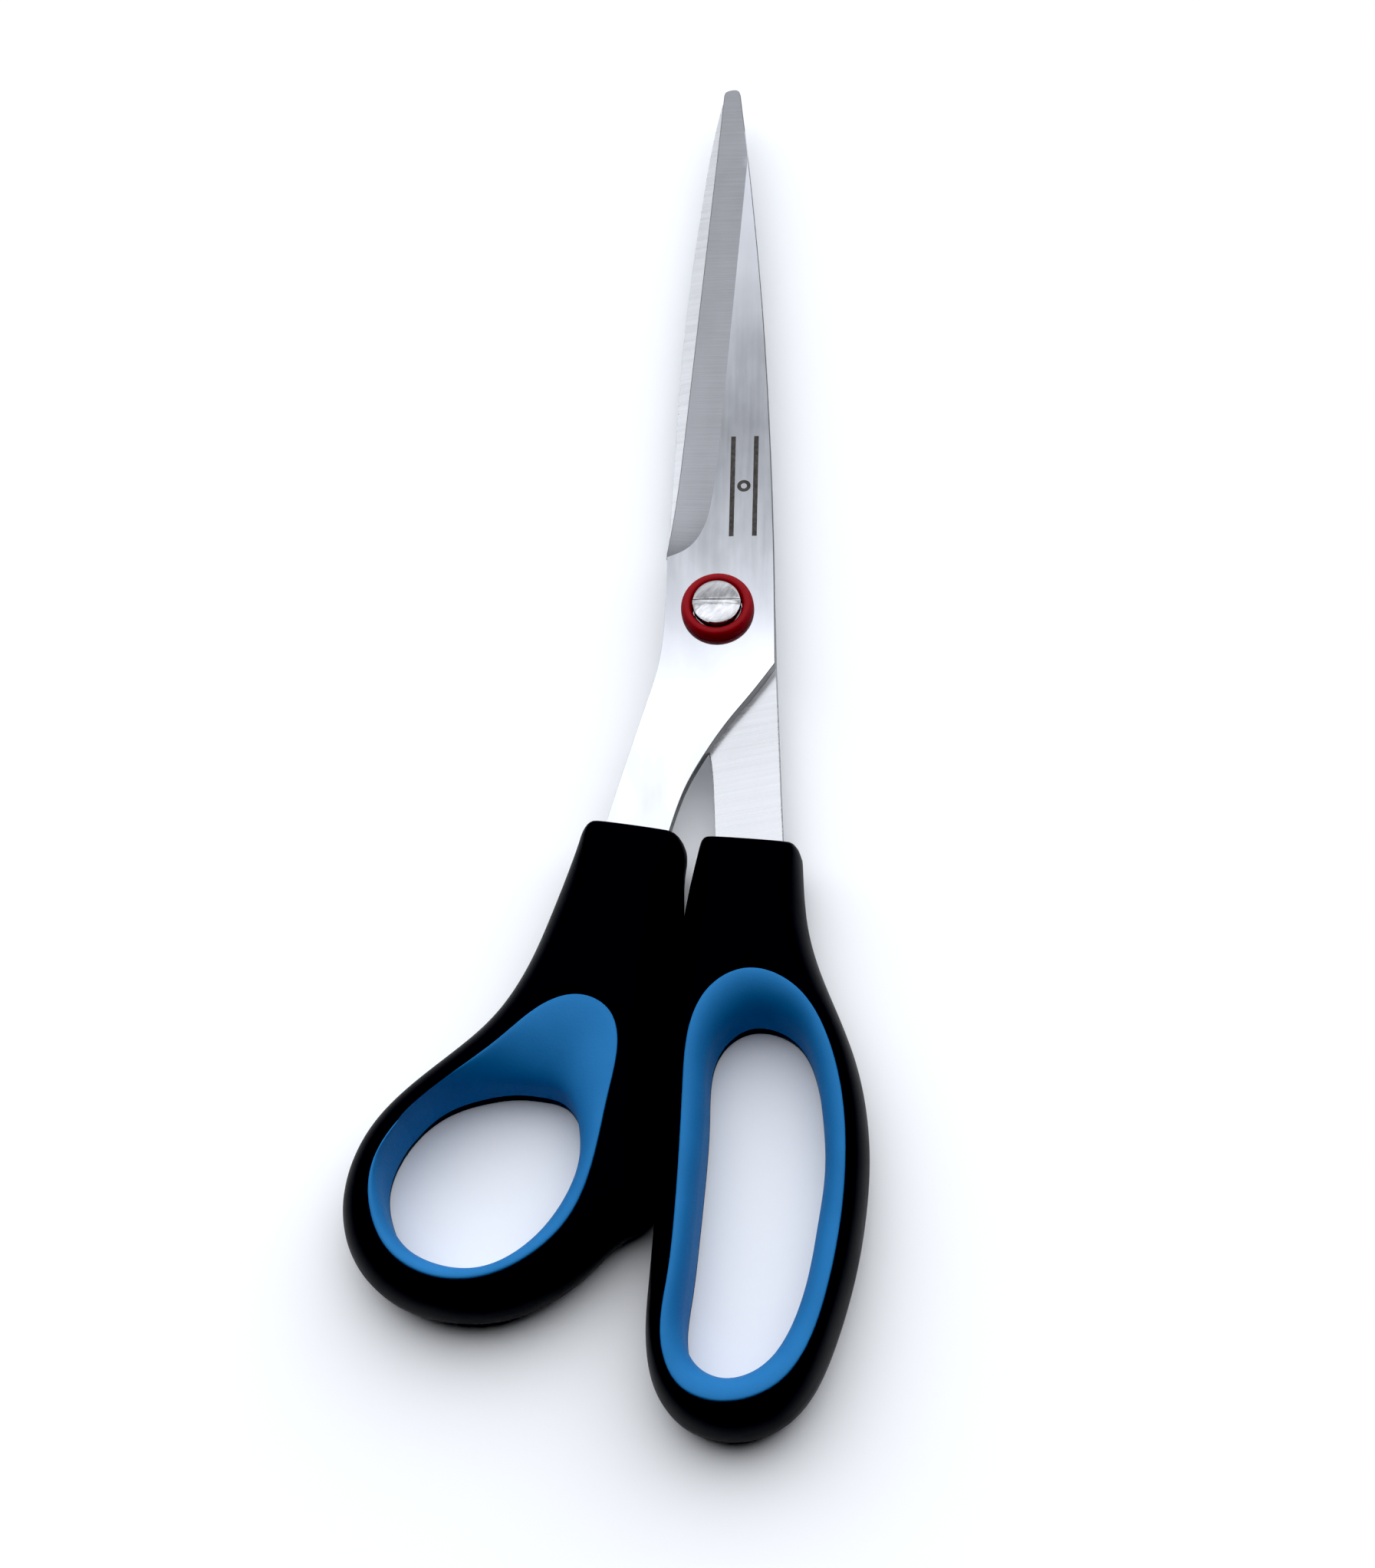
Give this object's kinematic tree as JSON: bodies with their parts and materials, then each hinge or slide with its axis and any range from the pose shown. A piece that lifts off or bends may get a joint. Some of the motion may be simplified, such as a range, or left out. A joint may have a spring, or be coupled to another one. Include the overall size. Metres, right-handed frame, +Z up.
{
  "type": "office scissors",
  "caption": "Closed office scissors with long ground steel blades, offset black handles and soft blue finger loops, a small thumb loop beside a long finger loop.",
  "frame": {"origin": "centre of the bounding box's base, on the surface that the closed scissors lie on", "axes": "+Y along the blades towards the tips, +X towards the finger handle's side, +Z up off the table"},
  "size_m": [0.0714, 0.2156, 0.012],
  "materials": {
    "blade_steel": "satin, with fine grinding lines across the facets",
    "pivot_steel": "bright turned and plated steel",
    "black_plastic": "near black, slightly silky moulded plastic",
    "blue_soft": "soft, matte, mid blue",
    "red_plastic": "deep red, lightly glossy"
  },
  "bodies": {
    "back_half": {"back_blade": "blade_steel", "finger_handle": "black_plastic", "finger_grip": "blue_soft", "pivot_screw": "pivot_steel", "pivot_nut": "pivot_steel", "tension_washer": "pivot_steel", "pivot_ring": "red_plastic"},
    "front_half": {"front_blade": "blade_steel", "thumb_handle": "black_plastic", "thumb_grip": "blue_soft"}
  },
  "joints": [
    {"name": "pivot", "type": "hinge", "parent": "back_half", "child": "front_half", "pos_m": [0.0134, 0.01535, 0.006], "axis": [0, 0, -1], "range_deg": [0, 140]}
  ]
}
